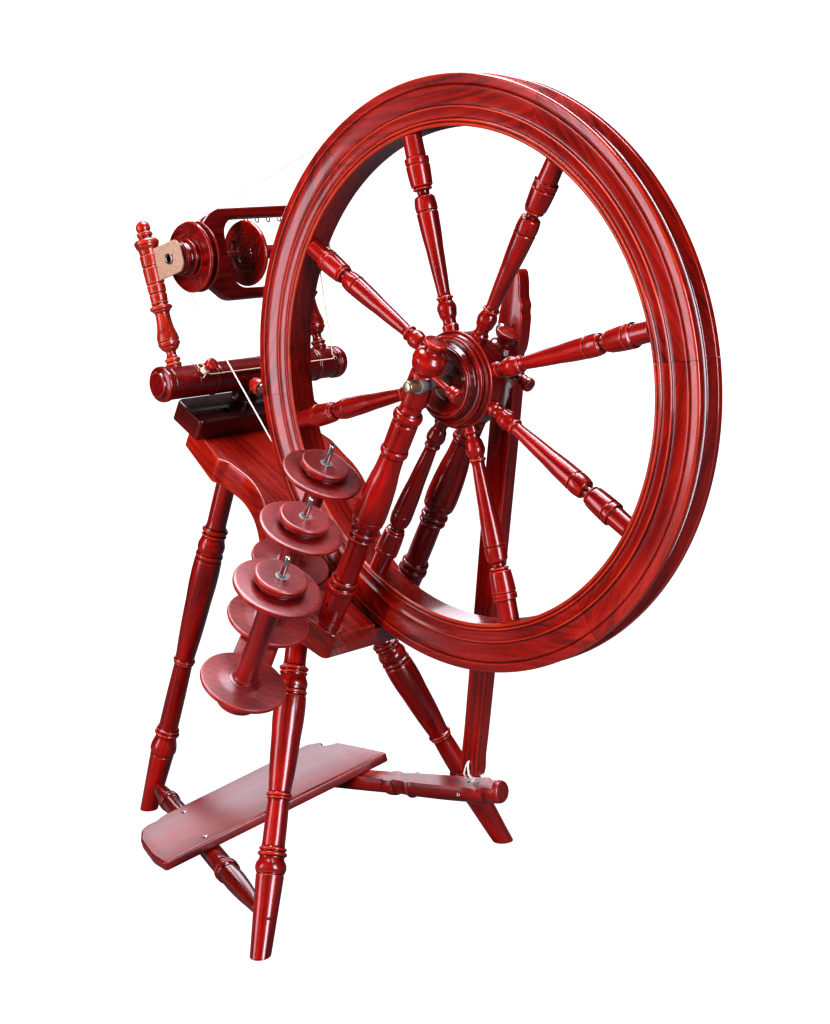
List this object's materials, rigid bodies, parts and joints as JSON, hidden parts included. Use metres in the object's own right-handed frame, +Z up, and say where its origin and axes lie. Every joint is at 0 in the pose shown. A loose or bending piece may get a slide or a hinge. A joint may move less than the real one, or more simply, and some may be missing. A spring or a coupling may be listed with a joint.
{
  "type": "spinning wheel",
  "caption": "Treadle-driven spinning wheel with a sloping table on turned legs, a spoked drive wheel, a flyer and bobbin between maidens, and a lazy kate",
  "frame": {"origin": "on the floor, under the middle of the whole assembly's box", "axes": "+Z up, -Y towards the spinner, +X from the flyer end to the drive wheel end; the wheel and the flyer turn about +Y"},
  "size_m": [0.904, 0.5224, 0.8894],
  "materials": {
    "table_wood": "glossy red mahogany stain",
    "block_wood": "dark mahogany stain, semi-gloss",
    "leg_wood": "glossy red mahogany stain",
    "post_wood": "glossy red mahogany stain",
    "peg_wood": "glossy red mahogany stain",
    "bearing": "plain",
    "rim_wood": "glossy red mahogany stain",
    "spoke_wood": "glossy red mahogany stain",
    "hub_wood": "glossy dark mahogany stain",
    "axle_steel": "bright steel",
    "moa_wood": "glossy dark mahogany stain",
    "maiden_wood": "glossy mahogany stain",
    "leather": "tan hide, cut edges",
    "flyer_wood": "glossy dark mahogany stain",
    "whorl_wood": "glossy dark mahogany stain",
    "orifice_steel": "bright",
    "hook_wire": "bright wire",
    "bobbin_wood": "satin mahogany stain",
    "kate_wood": "satin mahogany stain",
    "rod_steel": "bright drawn rod",
    "treadle_wood": "satin mahogany stain",
    "screw_steel": "bright",
    "footman_wood": "glossy mahogany stain",
    "tie": "pale",
    "band_cotton": "white cotton cord",
    "cord_cotton": "natural cotton cord"
  },
  "bodies": {
    "stand": {"axle_bearing_front": "bearing", "axle_bearing_rear": "bearing", "axle_peg_front": "peg_wood", "axle_peg_rear": "peg_wood", "brake_cord": "cord_cotton", "brake_hook": "hook_wire", "drive_band": "band_cotton", "kate_arm": "kate_wood", "kate_rod_1": "rod_steel", "kate_rod_2": "rod_steel", "kate_rod_3": "rod_steel", "leather_front": "leather", "leather_rear": "leather", "leg_back": "leg_wood", "leg_flyer_end": "leg_wood", "leg_front": "leg_wood", "maiden_front": "maiden_wood", "maiden_rear": "maiden_wood", "moa_block": "block_wood", "mother_of_all": "moa_wood", "post_front": "post_wood", "post_rear": "post_wood", "table": "table_wood"},
    "wheel": {"felloe_1": "rim_wood", "felloe_2": "rim_wood", "felloe_3": "rim_wood", "felloe_4": "rim_wood", "felloe_5": "rim_wood", "felloe_6": "rim_wood", "spoke_1": "spoke_wood", "spoke_2": "spoke_wood", "spoke_3": "spoke_wood", "spoke_4": "spoke_wood", "spoke_5": "spoke_wood", "spoke_6": "spoke_wood", "spoke_7": "spoke_wood", "spoke_8": "spoke_wood", "hub": "hub_wood", "axle_crank": "axle_steel"},
    "flyer": {"flyer": "flyer_wood", "flyer_shaft": "orifice_steel", "flyer_whorl": "whorl_wood", "hook_1": "hook_wire", "hook_2": "hook_wire", "hook_3": "hook_wire", "hook_4": "hook_wire"},
    "bobbin": {"bobbin": "bobbin_wood"},
    "treadle": {"treadle_pivot": "treadle_wood", "treadle_board": "treadle_wood", "treadle_lever": "treadle_wood", "board_screw_1": "screw_steel", "board_screw_2": "screw_steel", "lever_screw": "screw_steel", "footman_tie": "tie"},
    "footman": {"footman": "footman_wood"},
    "tension_knob": {"tension_knob": "peg_wood"},
    "brake_peg": {"brake_peg": "peg_wood"},
    "kate_bobbin_1": {"kate_bobbin_1": "bobbin_wood"},
    "kate_bobbin_2": {"kate_bobbin_2": "bobbin_wood"},
    "kate_bobbin_3": {"kate_bobbin_3": "bobbin_wood"}
  },
  "joints": [
    {"name": "wheel_spin", "type": "hinge", "parent": "stand", "child": "wheel", "pos_m": [0.15202, 0.03523, 0.5894], "axis": [0, 1, 0], "continuous": true},
    {"name": "flyer_spin", "type": "hinge", "parent": "stand", "child": "flyer", "pos_m": [-0.28048, 0.03523, 0.7118], "axis": [0, 1, 0], "continuous": true},
    {"name": "bobbin_spin", "type": "hinge", "parent": "flyer", "child": "bobbin", "pos_m": [-0.28048, 0.03523, 0.7118], "axis": [0, 1, 0], "continuous": true},
    {"name": "treadle_rock", "type": "hinge", "parent": "stand", "child": "treadle", "pos_m": [-0.20886, -0.05739, 0.036], "axis": [0.9184, -0.3957, 0], "range_deg": [-18.2, 0.4]},
    {"name": "footman_swing", "type": "hinge", "parent": "treadle", "child": "footman", "pos_m": [0.0563, 0.12469, 0.11715], "axis": [0.9184, -0.3957, 0], "range_deg": [-0.4, 18.2]},
    {"name": "tension_turn", "type": "hinge", "parent": "stand", "child": "tension_knob", "pos_m": [-0.28251, 0.09983, 0.56819], "axis": [0.9205, 0, -0.3907], "range_deg": [-180, 180]},
    {"name": "brake_turn", "type": "hinge", "parent": "stand", "child": "brake_peg", "pos_m": [-0.28251, 0.02693, 0.56819], "axis": [0.8746, 0, 0.4848], "range_deg": [-180, 180]},
    {"name": "kate_bobbin_1_spin", "type": "hinge", "parent": "stand", "child": "kate_bobbin_1", "pos_m": [-0.04653, -0.04277, 0.38591], "axis": [0.5, 0, 0.866], "continuous": true},
    {"name": "kate_bobbin_2_spin", "type": "hinge", "parent": "stand", "child": "kate_bobbin_2", "pos_m": [0.01581, -0.1304, 0.34992], "axis": [0.5, 0, 0.866], "continuous": true},
    {"name": "kate_bobbin_3_spin", "type": "hinge", "parent": "stand", "child": "kate_bobbin_3", "pos_m": [0.07814, -0.21803, 0.31393], "axis": [0.5, 0, 0.866], "continuous": true}
  ],
  "couplings": [
    {"joint": "flyer_spin", "follows": "wheel_spin", "ratio": 8.0219},
    {"joint": "footman_swing", "follows": "treadle_rock", "ratio": -1}
  ]
}
